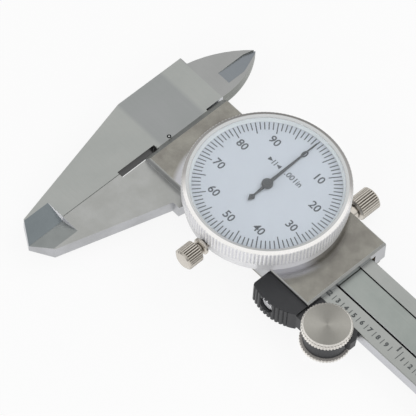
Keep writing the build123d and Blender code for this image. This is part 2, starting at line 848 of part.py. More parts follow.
def make_clamp_screw():
    head = Pos(dial_x, dial_y - clamp_head_start, clamp_z) * Rot(90, 0, 0) * thumb_head(
        clamp_head_radius, clamp_head_length)
    head += cross_post(dial_x, clamp_z, dial_y - clamp_head_start, clamp_collar_far - seat_fit,
                       clamp_boss_radius)
    return head + cross_post(dial_x, clamp_z, dial_y - clamp_head_start,
                             dial_y - case_radius + clamp_stem_bite, clamp_stem_radius)


def make_lock_screw():
    neck_start = slider_half_width + slide_fit
    neck_end_y = neck_start + lock_neck_length
    head = Pos(lock_screw_x, neck_end_y, beam_middle) * Rot(-90, 0, 0) * thumb_head(
        lock_head_radius, lock_head_length)
    body = head + cross_post(lock_screw_x, beam_middle, neck_start, neck_end_y, lock_neck_radius)
    return body + cross_post(lock_screw_x, beam_middle, gib_slot_y, neck_start, lock_stem_radius)


def roller_disc(radius, z0, z1, bevel_up):
    """Knurled disc with a bevelled outer face."""
    core = radius - roller_knurl_depth
    if bevel_up:
        body = knurled_disc(radius, z0, z1 - roller_chamfer, roller_knurl_count, roller_knurl_depth)
        body += Pos(0, 0, z1 - roller_chamfer / 2) * Cone(core, core - roller_chamfer, roller_chamfer)
    else:
        body = knurled_disc(radius, z0 + roller_chamfer, z1, roller_knurl_count, roller_knurl_depth)
        body += Pos(0, 0, z0 + roller_chamfer / 2) * Cone(core - roller_chamfer, core, roller_chamfer)
    return Pos(roller_x, roller_y, 0) * body


def axle_top():
    return roller_front_gap + roller_front_thickness - roller_axle_sink


def make_roller_front():
    body = roller_disc(roller_front_radius, roller_front_gap, roller_front_gap + roller_front_thickness, True)
    return body - post(roller_x, roller_y, roller_front_gap - 1, axle_top(),
                       roller_axle_radius + seat_fit / 2)


def make_roller_rear():
    body = roller_disc(roller_rear_radius, rest_plane, roller_rear_top, False)
    return body - post(roller_x, roller_y, rest_plane - 1, roller_rear_top + 1,
                       roller_axle_radius + seat_fit / 2)


def make_roller_hub():
    body = post(roller_x, roller_y, roller_rear_top, roller_front_gap, tyre_bore_radius)
    return body - post(roller_x, roller_y, rest_plane, roller_front_gap + 1,
                       roller_axle_radius + seat_fit / 2)


def make_tyre():
    body = post(roller_x, roller_y, arm_back, arm_front, tyre_radius)
    return body - post(roller_x, roller_y, arm_back - 1, arm_front + 1, tyre_bore_radius + seat_fit / 2)


def make_axle():
    return post(roller_x, roller_y, rest_plane, axle_top(), roller_axle_radius)


def rest_screw_end():
    return -slider_half_width + screw_grip


def serrated_edge():
    """Points from left to right along the bowed thumb edge: a row of low round teeth, then plain."""
    arc = bowed((rest_left, rest_left_y), (rest_right, rest_right_y), -rest_bulge)
    points = []
    for tooth in range(rest_tooth_count):
        for share, lift in ((0, rest_tooth_depth), (0.25, 0), (0.7, 0), (0.95, rest_tooth_depth)):
            place = arc @ ((tooth + share) / rest_tooth_count * rest_tooth_share)
            points.append((place.X, place.Y + lift))
    for share in (0, 1 / 3, 2 / 3, 1):
        place = arc @ (rest_tooth_share + share * (1 - rest_tooth_share))
        points.append((place.X, place.Y))
    return points


def make_thumb_rest():
    wall = -slider_half_width - slide_fit
    body = plate(serrated_edge() + [(rest_right, wall), (rest_left, wall)],
                 rest_plane + rest_floor_gap, rest_front)

    # Arm: a ring around the tyre, open at the beam, with a horn on each side of the opening
    beam_side = -beam_half - arm_beam_gap
    arm = post(roller_x, roller_y, arm_back, arm_front, ring_outer)
    arm += block(slider_right + slide_fit, slider_right + arm_left_width, rest_right_y, beam_side,
                 arm_back, arm_front)
    arm += block(rest_right - 1, slider_right + arm_left_width / 2, rest_right_y, wall,
                 arm_back, arm_front)
    arm += plate([
        (roller_x + lug_side, beam_side),
        (roller_x + lug_reach - lug_corner, beam_side),
        (roller_x + lug_reach, beam_side - lug_drop),
        (roller_x + lug_reach, beam_side - lug_depth),
        (roller_x + lug_side, roller_y),
    ], arm_front - lug_thickness, arm_front)
    arm -= post(roller_x, roller_y, arm_back - 1, arm_front + 1, ring_inner)
    arm -= block(roller_x - lug_side, roller_x + lug_side, roller_y, 0, arm_back - 1, arm_front + 1)
    arm -= block(slider_right - 1, roller_x + 2 * lug_reach, beam_side, 0, arm_back - 1, arm_front + 1)
    body += arm
    body -= cross_post(rest_screw_x, rest_screw_z, rest_left_y - 2, rest_screw_seat, rest_counterbore)
    return body - cross_post(rest_screw_x, rest_screw_z, rest_screw_seat - 1, 0, screw_radius + screw_fit)


def make_rest_screw():
    top = rest_screw_seat - rest_screw_head_height
    screw = cross_post(rest_screw_x, rest_screw_z, top, rest_screw_seat, rest_screw_head)
    screw += cross_post(rest_screw_x, rest_screw_z, rest_screw_seat, rest_screw_end(), screw_radius)
    return screw - block(rest_screw_x - rest_screw_head, rest_screw_x + rest_screw_head,
                         top, top + screw_slot_depth,
                         rest_screw_z - screw_slot_width / 2, rest_screw_z + screw_slot_width / 2)


# Beam and what is fixed to it
save(make_beam(), "beam")
save(make_rack(), "rack")
save(Compound([post(x, rack_pin_y, rack_front - rack_pin_length, rack_front, rack_pin_radius)
               for x in rack_pin_places]), "rack_pins")
save(post(dowel_x, dowel_y, -dowel_length, 0, dowel_radius), "head_dowel")
save(make_end_stop(), "end_stop")
save(Compound([slotted_screw(x, y, stop_height, 1) for x, y in stop_screw_places()]), "end_stop_screws")

# Slider and what is fixed to it
save(make_slider(), "slider")
save(make_gib(), "gib")
save(make_gib_screws(), "gib_screws")
save(make_back_plate(), "back_plate")
save(Compound([slotted_screw(x, y, rest_plane, -1) for x, y in plate_screw_positions()]),
     "back_plate_screws")
save(make_depth_rod(), "depth_rod")
save(make_rod_rivets(), "depth_rod_rivets")
save(make_case(), "dial_case")
save(Compound([slotted_screw(x, y, floor_top + screw_head_height, 1)
               for x, y in case_screw_positions()]), "case_screws")
save(make_bushes(slider_front, floor_top, (gear_journal_radius, pivot_radius, pivot_radius)), "case_bushes")
save(make_bridge(), "bridge")
save(make_bushes(bridge_bottom, bridge_top, (pivot_radius, pivot_radius, pivot_radius)), "bridge_bushes")
save(make_posts(), "bridge_posts")
save(Compound([slotted_screw(x, y, bridge_top + screw_head_height, 1)
               for x, y in post_positions()]), "bridge_screws")
save(make_hairspring(), "hairspring")
save(make_stud(), "hairspring_stud")
save(make_bezel_clip(), "bezel_clip")
save(make_thumb_rest(), "thumb_rest")
save(make_rest_screw(), "thumb_rest_screw")

# Gear train and pointer
save(make_gear_shaft(), "gear_shaft")
save(make_drive_gear(), "drive_gear")
save(make_pointer_arbor(), "pointer_arbor")
save(make_pointer(), "pointer")
save(make_takeup_arbor(), "takeup_arbor")
save(make_takeup_wheel(), "takeup_wheel")

# Bezel, which turns with the dial
save(make_bezel(), "bezel")
save(make_dial_face(), "dial_face")
save(make_spacer(), "dial_spacer")
save(make_crystal(), "crystal")

# Thumb screws and thumb roller
save(make_clamp_screw(), "bezel_clamp_screw")
save(make_lock_screw(), "lock_screw")
save(make_roller_front(), "roller_front_disc")
save(make_roller_rear(), "roller_rear_disc")
save(make_roller_hub(), "roller_hub")
save(make_tyre(), "roller_tyre")
save(make_axle(), "roller_axle")
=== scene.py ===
import math

import bmesh
import bpy
import numpy as np
from mathutils import Matrix, Vector


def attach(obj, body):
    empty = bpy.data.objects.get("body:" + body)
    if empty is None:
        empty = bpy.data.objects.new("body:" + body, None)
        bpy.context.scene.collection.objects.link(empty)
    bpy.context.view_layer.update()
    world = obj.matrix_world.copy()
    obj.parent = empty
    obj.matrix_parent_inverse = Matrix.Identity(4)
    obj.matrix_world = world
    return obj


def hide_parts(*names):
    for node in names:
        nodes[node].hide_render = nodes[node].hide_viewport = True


# A dial caliper, closed, seen from above its dial. Blender 4.5, metres, in the frame's own axes:
# x runs along the beam from the closing line, y across it and z out of its front face.

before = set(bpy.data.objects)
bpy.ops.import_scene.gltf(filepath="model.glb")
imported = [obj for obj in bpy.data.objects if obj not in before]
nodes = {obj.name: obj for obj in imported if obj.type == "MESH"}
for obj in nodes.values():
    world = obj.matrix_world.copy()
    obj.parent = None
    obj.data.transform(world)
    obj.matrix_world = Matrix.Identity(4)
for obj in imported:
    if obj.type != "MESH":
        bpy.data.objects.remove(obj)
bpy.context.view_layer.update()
mm = 0.001
dialAxis = (27.8, 32.8)  # millimetres, where the dial's axis crosses the front face
print("frame loaded:", len(nodes), "nodes")


def hexColour(text):
    # an sRGB hex colour as linear red, green, blue and a full alpha
    parts = [int(text[i:i + 2], 16) / 255 for i in (1, 3, 5)]
    return (*[c / 12.92 if c <= 0.04045 else ((c + 0.055) / 1.055) ** 2.4 for c in parts], 1.0)


def addNode(tree, kind, settings=None, links=None):
    # a setting is one of the node's own properties or the name or number of an input
    node = tree.nodes.new(kind)
    for key, value in (settings or {}).items():
        if isinstance(key, str) and hasattr(node, key):
            setattr(node, key, value)
        else:
            node.inputs[key].default_value = value
    for key, socket in (links or {}).items():
        tree.links.new(socket, node.inputs[key])
    return node


def newMaterial(name, shaderSettings):
    material = bpy.data.materials.new(name)
    material.use_nodes = True
    tree = material.node_tree
    tree.nodes.clear()
    shader = addNode(tree, "ShaderNodeBsdfPrincipled", shaderSettings)
    addNode(tree, "ShaderNodeOutputMaterial", links={"Surface": shader.outputs[0]})
    return material, tree, shader


def finish(name, *materials):
    # gives a CAD node its materials in order
    slots = nodes[name].data.materials
    slots.clear()
    for material in materials:
        slots.append(material)


def addPiece(name, points, faces, material, body, smooth=False):
    # a closed mesh from its points and faces, welded, with its faces turned outwards
    mesh = bpy.data.meshes.new(name)
    mesh.from_pydata(points.tolist(), [], faces.tolist() if hasattr(faces, "tolist") else faces)
    shape = bmesh.new()
    shape.from_mesh(mesh)
    bmesh.ops.remove_doubles(shape, verts=shape.verts, dist=1e-7)
    bmesh.ops.recalc_face_normals(shape, faces=shape.faces)
    shape.to_mesh(mesh)
    shape.free()
    mesh.polygons.foreach_set("use_smooth", np.full(len(mesh.polygons), smooth))
    mesh.materials.append(material)
    piece = bpy.data.objects.new(name, mesh)
    bpy.context.scene.collection.objects.link(piece)
    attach(piece, body)
    return piece


def ringFaces(rows, columns, closed=True):
    # quads that join each row of points to the next one, and the last column to the first
    i, j = np.meshgrid(np.arange(rows if closed else rows - 1), np.arange(columns), indexing="ij")
    down, right = (i + 1) % rows, (j + 1) % columns
    return np.stack([i * columns + j, i * columns + right, down * columns + right, down * columns + j],
                    axis=-1).reshape(-1, 4)


grain = {  # millimetres
    "grindingLine": 0.16,  # real lines are near 0.02, drawn coarser so that they show
    "grindingRun": 9.0,
    "pit": 0.22,
    "edgeSoftness": 0.10,
}
lengthways = (1 / grain["grindingRun"], 1 / grain["grindingLine"], 1 / grain["grindingLine"])
allWays = (1 / grain["pit"],) * 3


def objectPoint(tree, scale=(1, 1, 1), centre=(0, 0, 0)):
    # the piece's own coordinates, counted in millimetres from the centre and then scaled
    coordinates = addNode(tree, "ShaderNodeTexCoord")
    shifted = addNode(tree, "ShaderNodeMapping", {"Location": tuple(-c for c in centre)},
                      {"Vector": coordinates.outputs["Object"]})
    return addNode(tree, "ShaderNodeVectorMath", {"operation": "MULTIPLY", 1: tuple(s / mm for s in scale)},
                   {0: shifted.outputs[0]}).outputs[0]


def softEdge(tree, size):
    # a normal that rounds the sharp edges, and how near the surface is to one, 0 to 1
    rounded = addNode(tree, "ShaderNodeBevel", {"samples": 6, "Radius": size * mm})
    plain = addNode(tree, "ShaderNodeNewGeometry")
    along = addNode(tree, "ShaderNodeVectorMath", {"operation": "DOT_PRODUCT"},
                    {0: rounded.outputs[0], 1: plain.outputs["Normal"]})
    near = addNode(tree, "ShaderNodeMapRange", {"From Min": 0.995, "From Max": 0.85},
                   {"Value": along.outputs["Value"]})
    return rounded.outputs[0], near.outputs["Result"]


def zoneMask(tree, zone):
    # 1 where the point and the way its face looks lie inside the zone's ranges, 0 outside, soft between
    point = objectPoint(tree)
    place = addNode(tree, "ShaderNodeSeparateXYZ", {}, {0: point})
    facing = addNode(tree, "ShaderNodeSeparateXYZ", {},
                     {0: addNode(tree, "ShaderNodeNewGeometry").outputs["True Normal"]})
    middle = addNode(tree, "ShaderNodeVectorMath", {"operation": "MULTIPLY", 1: (1, 1, 0)}, {0: point})
    centre = (*zone.get("centre", (0, 0)), 0)
    away = addNode(tree, "ShaderNodeVectorMath", {"operation": "DISTANCE", 1: centre}, {0: middle.outputs[0]})
    values = {"x": place.outputs[0], "y": place.outputs[1], "z": place.outputs[2], "up": facing.outputs[2],
              "side": facing.outputs[1], "radius": away.outputs["Value"]}
    mask = None
    for key, socket in values.items():
        if key not in zone:
            continue
        low, high = zone[key]
        soft = 0.0001 if key in ("up", "side") else zone.get(key + "Soft", zone.get("soft", 0.05))
        rise = addNode(tree, "ShaderNodeMapRange", {"From Min": low - soft, "From Max": low},
                       {"Value": socket})
        fall = addNode(tree, "ShaderNodeMapRange",
                       {"From Min": high, "From Max": high + soft, "To Min": 1.0, "To Max": 0.0},
                       {"Value": socket})
        both = addNode(tree, "ShaderNodeMath", {"operation": "MULTIPLY"},
                       {0: rise.outputs[0], 1: fall.outputs[0]})
        if mask is not None:
            both = addNode(tree, "ShaderNodeMath", {"operation": "MULTIPLY"}, {0: both.outputs[0], 1: mask})
        mask = both.outputs[0]
    return mask


def mixColour(tree, share, first, second):
    # a colour or a socket for each of the two
    node = addNode(tree, "ShaderNodeMix", {"data_type": "RGBA"}, {0: share})
    for number, value in ((6, first), (7, second)):
        if isinstance(value, str):
            node.inputs[number].default_value = hexColour(value)
        else:
            tree.links.new(value, node.inputs[number])
    return node.outputs[2]


def metal(name, look, shaderSettings=None):
    # the colour drifts from colour to cloud over cloudSize, zones lay other colours over it, the fine
    # grain shades it, and edges wear to a brighter colour; the same grain drives roughness and bump.
    # recess is a painted shade for buried corners, and groove a painted shade where grooveDepth is 1
    material, tree, shader = newMaterial(name, {"Metallic": look.get("metallic", 1.0),
                                                **(shaderSettings or {})})
    cloud = addNode(tree, "ShaderNodeTexNoise", {"Scale": 1.0, "Detail": 5.0, "Roughness": 0.62},
                    {"Vector": objectPoint(tree, (1 / look.get("cloudSize", 7.0),) * 3)})
    cloudShare = addNode(tree, "ShaderNodeMapRange", {"From Min": 0.36, "From Max": 0.64},
                         {"Value": cloud.outputs[0]}).outputs[0]
    fine = addNode(tree, "ShaderNodeTexNoise", {"Scale": 1.0, "Detail": 3.0, "Roughness": 0.7},
                   {"Vector": objectPoint(tree, look.get("grain", allWays))})
    colour = mixColour(tree, cloudShare, look["colour"], look["cloud"])
    zoned = {}  # sockets for metallic and rough, where a zone sets its own
    for zone in look.get("zones", ()):
        mask = zoneMask(tree, zone)
        over = mixColour(tree, cloudShare, zone["colour"], zone.get("cloud", zone["colour"]))
        colour = mixColour(tree, mask, colour, over)
        for key in ("metallic", "rough"):
            if key in zone:
                plain = look.get(key, 1.0)
                node = addNode(tree, "ShaderNodeMix", {2: plain, 3: zone[key]}, {0: mask})
                if key in zoned:
                    tree.links.new(zoned[key], node.inputs[2])
                zoned[key] = node.outputs[0]
    if "metallic" in zoned:
        tree.links.new(zoned["metallic"], shader.inputs["Metallic"])
    # painted shade: darker where ambient occlusion finds the surface buried
    if "recess" in look:
        openness = addNode(tree, "ShaderNodeAmbientOcclusion",
                           {"samples": 6, "Distance": look["recessReach"] * mm})
        buried = addNode(tree, "ShaderNodeMapRange", {"From Min": 0.95, "From Max": 0.5},
                         {"Value": openness.outputs["AO"]})
        colour = mixColour(tree, buried.outputs[0], colour, look["recess"])
    # painted shade: darker deep in the bezel's knurl grooves
    if "groove" in look:
        depth = addNode(tree, "ShaderNodeAttribute", {"attribute_name": "grooveDepth"})
        colour = mixColour(tree, depth.outputs["Fac"], colour, look["groove"])
    contrast = look.get("contrast", 0.06)
    shade = addNode(tree, "ShaderNodeMapRange",
                    {"From Min": 0.3, "From Max": 0.7, "To Min": 1 - contrast, "To Max": 1 + contrast},
                    {"Value": fine.outputs[0]})
    colour = addNode(tree, "ShaderNodeVectorMath", {"operation": "MULTIPLY"},
                     {0: colour, 1: shade.outputs[0]})
    normal, edge = softEdge(tree, look.get("softness", grain["edgeSoftness"]))
    worn = addNode(tree, "ShaderNodeMath", {"operation": "MULTIPLY", 1: look.get("wearShare", 0.5)},
                   {0: edge})
    colour = mixColour(tree, worn.outputs[0], colour.outputs[0], look.get("wear", "#D6D8D6"))
    drift = addNode(tree, "ShaderNodeMapRange",
                    {"From Min": 0.3, "From Max": 0.7, "To Min": -0.04, "To Max": 0.05},
                    {"Value": fine.outputs[0]})
    rough = addNode(tree, "ShaderNodeMath", {"operation": "ADD", 1: look["rough"]}, {0: drift.outputs[0]})
    if "rough" in zoned:
        tree.links.new(zoned["rough"], rough.inputs[1])
    bump = addNode(tree, "ShaderNodeBump", {"Strength": 1.0, "Distance": look["depth"] * mm},
                   {"Height": fine.outputs[0], "Normal": normal})
    tree.links.new(colour, shader.inputs["Base Color"])
    tree.links.new(rough.outputs[0], shader.inputs["Roughness"])
    tree.links.new(bump.outputs[0], shader.inputs["Normal"])
    return material


# stainless steel ground lengthways: long faint lines and a soft sheen. The sides carry a painted highlight,
# the thinned tips and the blade's flat a painted darker, bluish reflection, the relief between the jaws a
# painted black shade, and a dark line of oil marks where the jaws meet
groundBeam = metal("groundStainlessBeam", {
    "colour": "#ACAEAB", "cloud": "#A5A8A5", "cloudSize": 14.0, "rough": 0.34, "grain": lengthways,
    "depth": 0.003, "contrast": 0.04,
    "zones": [
        # the head, the fixed blade's top, a painted highlight on all sides, and painted shade on the blade's
        # own sides
        {"colour": "#9D9F9F", "cloud": "#999C9B", "x": (-30, 5.2), "y": (26.6, 39.0), "up": (0.9999, 2),
         "soft": 1.1},
        {"colour": "#A5A6A5", "cloud": "#9FA09F", "y": (45.6, 70), "up": (0.9999, 2)},
        {"colour": "#D2D3D7", "cloud": "#C8C9CD", "up": (-0.5, 0.5)},
        {"colour": "#777A75", "cloud": "#8A8D88", "x": (-20, 1), "y": (45.8, 70), "up": (-0.5, 0.5)},
        # painted darker reflection on the fixed jaw's thinned tip and the blade's ground flat, and a painted
        # highlight on the step behind the tip
        {"colour": "#787F82", "cloud": "#81888B", "up": (0.75, 0.9996), "y": (-20, -3.0)},
        {"colour": "#868B90", "cloud": "#8A8F93", "up": (0.75, 0.9996), "y": (45, 70)},
        {"colour": "#F6F6FA", "y": (-3.6, -3.4), "side": (-2, -0.9), "metallic": 0.0},
        # painted black shade in the relief between the jaws and in the rack's channel, and the dark closing
        # line
        {"colour": "#1C1C1C", "x": (-0.76, 1.2), "y": (12.0, 29.0), "up": (-0.5, 0.5), "metallic": 0.4},
        {"colour": "#101110", "x": (6, 220), "y": (29.6, 37.3), "z": (-1.6, 1.6), "metallic": 0.2},
        {"colour": "#5E605E", "x": (-0.09, 0.02), "y": (-3.4, 13.7), "up": (0.99, 2), "soft": 0.03},
    ]})
# the same steel on the rack cover and the depth rod, a little greener, with a painted highlight on its sides
# and a painted black shade low on them
groundCover = metal("groundStainlessCover", {
    "colour": "#A3A8A4", "cloud": "#9AA09C", "cloudSize": 9.0, "rough": 0.34, "grain": lengthways,
    "depth": 0.003, "contrast": 0.04,
    "zones": [
        {"colour": "#D0D2D2", "up": (-0.9, 0.9)},
        {"colour": "#101110", "z": (-5, 1.2), "up": (-0.9, 0.9), "metallic": 0.2},
    ]})
# the slider: jaws ground pale, the raised block vapour blasted to a warm grey with cloudy patches
blastedSlider = metal("vapourBlastedSlider", {
    "colour": "#B0B1AF", "cloud": "#A6A7A4", "cloudSize": 6.0, "rough": 0.32, "depth": 0.0008,
    "contrast": 0.03,
    "zones": [
        # the block's top, and on it a painted reflection of the chromed case: a bright ring
        {"colour": "#827F79", "cloud": "#99978F", "z": (1.9, 9), "up": (0.9999, 2), "rough": 0.22},
        {"colour": "#BCBCC0", "z": (1.9, 9), "up": (0.9999, 2), "y": (0, 26.5), "ySoft": 4,
         "centre": dialAxis, "radius": (18, 20.6), "radiusSoft": 1.2},
        # a painted highlight on all sides, and painted shade on the moving blade's own
        {"colour": "#BFC0C3", "cloud": "#B2B3B5", "up": (-0.5, 0.5)},
        {"colour": "#777A75", "cloud": "#8A8D88", "y": (45.8, 70), "up": (-0.5, 0.5)},
        # painted darker reflection on the moving jaw's thinned tip, a painted highlight on the step behind
        # it, painted black shade in the relief, and the dark closing line
        {"colour": "#9FA3A2", "cloud": "#969A99", "up": (0.75, 0.9996), "y": (-20, -3.0)},
        {"colour": "#C9C9CE", "y": (-3.6, -3.4), "side": (-2, -0.9), "metallic": 0.2},
        {"colour": "#1C1C1C", "x": (-0.1, 1.2), "y": (12.0, 26.0), "up": (-0.5, 0.5), "metallic": 0.4},
        {"colour": "#5E605E", "x": (-0.02, 0.06), "y": (-3.4, 13.7), "up": (0.99, 2), "soft": 0.03},
    ]})
# the back plate and the end stop: the block's blasted finish all over
blastedPlate = metal("vapourBlastedPlate", {
    "colour": "#93918A", "cloud": "#A5A39C", "cloudSize": 5.0, "rough": 0.40, "depth": 0.006})
# hardened and tempered screw steel: darker, close grained, a little blue
temperedSteel = metal("temperedScrewSteel", {
    "colour": "#8D9094", "cloud": "#7C7F84", "rough": 0.28, "depth": 0.003})
# the dowel is driven home in its reamed hole: a bright middle in a dark ring of oil
drivenDowel = metal("drivenDowelSteel", {
    "colour": "#C6C8C6", "cloud": "#BCBEBC", "rough": 0.35, "depth": 0.002, "wearShare": 0.0,
    "zones": [{"colour": "#2C2E30", "centre": (-0.15, 29.1), "radius": (0.24, 0.7), "soft": 0.06}]})
# satin chrome over brass, tumbled before plating: pale and even, its knurl nearly white with painted shade in
# the grooves, the rim's outer slope smoother, its far half painted with the tent's grey reflection, and its
# inner slope smooth too, with a painted darker reflection
satinChrome = metal("satinChromePlate", {
    "colour": "#F2F2F1", "cloud": "#ECECEC", "rough": 0.26, "depth": 0.0004, "wear": "#FFFFFF",
    "metallic": 0.18, "contrast": 0.02, "groove": "#D4D4DA",
    "zones": [
        {"colour": "#F4F2F0", "centre": dialAxis, "radius": (0, 19.12), "metallic": 0.9, "rough": 0.18},
        {"colour": "#AAA8A6", "z": (10.67, 12), "centre": (69.0, -10.8), "radius": (64, 200), "radiusSoft": 6,
         "metallic": 0.9, "rough": 0.22},
        {"colour": "#CDCFCF", "centre": dialAxis, "radius": (0, 18.33), "metallic": 0.8, "rough": 0.2},
    ]})
# bright chrome over a turned cup: smooth and glassy
brightChrome = metal("brightChromePlate", {
    "colour": "#E8E8EA", "cloud": "#DEDEE1", "rough": 0.16, "depth": 0.001, "wear": "#FFFFFF",
    "metallic": 0.25})
# bright nickel over turned and knurled brass: warm, bright on the crests, with painted shade in the cuts
brightNickel = metal("brightNickelPlate", {
    "colour": "#D6D0C7", "cloud": "#CAC4BB", "rough": 0.20, "depth": 0.001, "wear": "#F4F0E8",
    "softness": 0.06, "recess": "#5C5850", "recessReach": 0.5})
# free-cutting clock brass under lacquer: yellow, faintly brushed
clockBrass = metal("lacqueredClockBrass", {
    "colour": "#C9A55C", "cloud": "#B8934B", "rough": 0.25, "depth": 0.002, "wear": "#E0C584"})


# painted sheen on the roller's discs: a fan of light and dark wedges, fixed to the disc
roller = {
    "centre": (60.75 * mm, 20.22 * mm, 0),
    "lightAt": 47.0,  # degrees from x, where the painted light wedge lies
    "dark": 0.92,  # share of the base colour left in the painted dark wedge
    "light": 1.30,  # and in the painted light one
}


def turnedMetal(name, look, centre):
    # steel faced in a lathe: fine rings round the centre stretch each light across them, into wedges, and a
    # painted sheen adds a fan of light and dark wedges
    material = metal(name, look, {"Anisotropic": 0.85, "Anisotropic Rotation": 0.25})
    tree = material.node_tree
    shader = [node for node in tree.nodes if node.type == "BSDF_PRINCIPLED"][0]
    tangent = addNode(tree, "ShaderNodeTangent", {"direction_type": "RADIAL", "axis": "Z"})
    tree.links.new(tangent.outputs[0], shader.inputs["Tangent"])
    rings = addNode(tree, "ShaderNodeTexWave",
                    {"wave_type": "RINGS", "rings_direction": "Z", "Scale": 1.0, "Distortion": 0.4},
                    {"Vector": objectPoint(tree, (0.9,) * 3, centre)})
    ringed = addNode(tree, "ShaderNodeBump", {"Strength": 0.4, "Distance": 0.002 * mm},
                     {"Height": rings.outputs[0], "Normal": shader.inputs["Normal"].links[0].from_socket})
    tree.links.new(ringed.outputs[0], shader.inputs["Normal"])
    # the painted sheen's wedges: the base colour's brightness swings with the cosine of twice the angle round
    # the centre
    place = addNode(tree, "ShaderNodeSeparateXYZ", {}, {0: objectPoint(tree, centre=centre)})
    angle = addNode(tree, "ShaderNodeMath", {"operation": "ARCTAN2"},
                    {0: place.outputs[1], 1: place.outputs[0]})
    start = -2 * math.radians(roller["lightAt"])
    twice = addNode(tree, "ShaderNodeMath", {"operation": "MULTIPLY_ADD", 1: 2.0, 2: start},
                    {0: angle.outputs[0]})
    swing = addNode(tree, "ShaderNodeMath", {"operation": "COSINE"}, {0: twice.outputs[0]})
    level = addNode(tree, "ShaderNodeMapRange",
                    {"From Min": -1.0, "To Min": roller["dark"], "To Max": roller["light"]},
                    {"Value": swing.outputs[0]})
    base = shader.inputs["Base Color"].links[0].from_socket
    paintedSheen = addNode(tree, "ShaderNodeVectorMath", {"operation": "MULTIPLY"}, {0: base, 1: level.outputs[0]})
    tree.links.new(paintedSheen.outputs[0], shader.inputs["Base Color"])
    return material


# stainless steel discs faced in a lathe: a painted sheen of light and dark wedges round the middle, a painted
# highlight on the knurled sides, and painted light on the rear disc's face, pale and matt, in the shade of
# the tyre
facedSteel = turnedMetal("faceTurnedSteel", {
    "colour": "#9A9892", "cloud": "#94928C", "rough": 0.30, "depth": 0.001, "wear": "#F4F2EE",
    "zones": [
        {"colour": "#E4E0DA", "up": (-0.9, 0.9), "metallic": 0.6},
        {"colour": "#B0ACA8", "z": (-4, -2.0), "up": (0.99, 2), "metallic": 0.0},
    ]}, roller["centre"])


def paintedSurface(name, colour, cloudColour, roughness, pit, depth, shaderSettings=None, softness=0.05):
    # paint, plastic or rubber: a little cloudiness in the colour and a fine skin in the bump
    material, tree, shader = newMaterial(name, shaderSettings)
    cloud = addNode(tree, "ShaderNodeTexNoise", {"Scale": 1.0, "Detail": 3.0},
                    {"Vector": objectPoint(tree, (1 / 3.0,) * 3)})
    fine = addNode(tree, "ShaderNodeTexNoise", {"Scale": 1.0, "Detail": 2.0, "Roughness": 0.6},
                   {"Vector": objectPoint(tree, (1 / pit,) * 3)})
    tint = addNode(tree, "ShaderNodeMix",
                   {"data_type": "RGBA", 6: hexColour(colour), 7: hexColour(cloudColour)},
                   {0: cloud.outputs[0]})
    rough = addNode(tree, "ShaderNodeMapRange", {"To Min": roughness - 0.06, "To Max": roughness + 0.06},
                    {"Value": fine.outputs[0]})
    normal, _ = softEdge(tree, softness)
    bump = addNode(tree, "ShaderNodeBump", {"Strength": 1.0, "Distance": depth * mm},
                   {"Height": fine.outputs[0], "Normal": normal})
    tree.links.new(tint.outputs[2], shader.inputs["Base Color"])
    tree.links.new(rough.outputs[0], shader.inputs["Roughness"])
    tree.links.new(bump.outputs[0], shader.inputs["Normal"])
    return material


# stoved white enamel with a cool cast on the dial: smooth and nearly matt
dialEnamel = paintedSurface("stovedDialEnamel", "#C3C7CD", "#BFC3CA", 0.45, 0.3, 0.001)
# anodised aluminium ring round the dial: pale, nearly matt
anodisedRing = paintedSurface("anodisedSpacerRing", "#DADDDE", "#D3D6D7", 0.40, 0.3, 0.001)
# screen-printed ink, dark grey: a thin dry film
dialInk = paintedSurface("screenPrintedInk", "#43474C", "#4D5156", 0.55, 0.15, 0.001)
# paint wiped into etched marks on the scale, worn thin
etchedFill = paintedSurface("etchedScalePaint", "#4C4F50", "#606464", 0.60, 0.2, 0.002)
# gunmetal lacquer on the pointer: dark grey with a slight gloss
gunmetalLacquer = paintedSurface("gunmetalPointerLacquer", "#3A3C3D", "#454849", 0.45, 0.2, 0.001)
# glass-filled nylon, moulded: charcoal black with a dull satin skin
mouldedNylon = paintedSurface("mouldedBlackNylon", "#202124", "#2A2B2E", 0.42, 0.12, 0.006, {"IOR": 1.53})
# nitrile rubber tyre: matt violet-grey black
nitrileRubber = paintedSurface("nitrileRubberTyre", "#65626F", "#6F6C79", 0.70, 0.10, 0.006, {"IOR": 1.52})


def crystalMaterial():
    # cast acrylic: clear, and light passes it without a dark shadow
    material, tree, shader = newMaterial("castAcrylicCrystal", {
        "Base Color": hexColour("#F7FAFC"), "Roughness": 0.02, "IOR": 1.49, "Transmission Weight": 1.0})
    output = [n for n in tree.nodes if n.type == "OUTPUT_MATERIAL"][0]
    clear = addNode(tree, "ShaderNodeBsdfTransparent")
    path = addNode(tree, "ShaderNodeLightPath")
    either = addNode(tree, "ShaderNodeMixShader", {},
                     {0: path.outputs["Is Shadow Ray"], 1: shader.outputs[0], 2: clear.outputs[0]})
    haze = addNode(tree, "ShaderNodeTexNoise", {"Scale": 1.0, "Detail": 2.0},
                   {"Vector": objectPoint(tree, (1 / 5.0,) * 3)})
    rough = addNode(tree, "ShaderNodeMapRange", {"To Min": 0.01, "To Max": 0.04}, {"Value": haze.outputs[0]})
    tree.links.new(rough.outputs[0], shader.inputs["Roughness"])
    tree.links.new(either.outputs[0], output.inputs["Surface"])
    return material


castAcrylic = crystalMaterial()

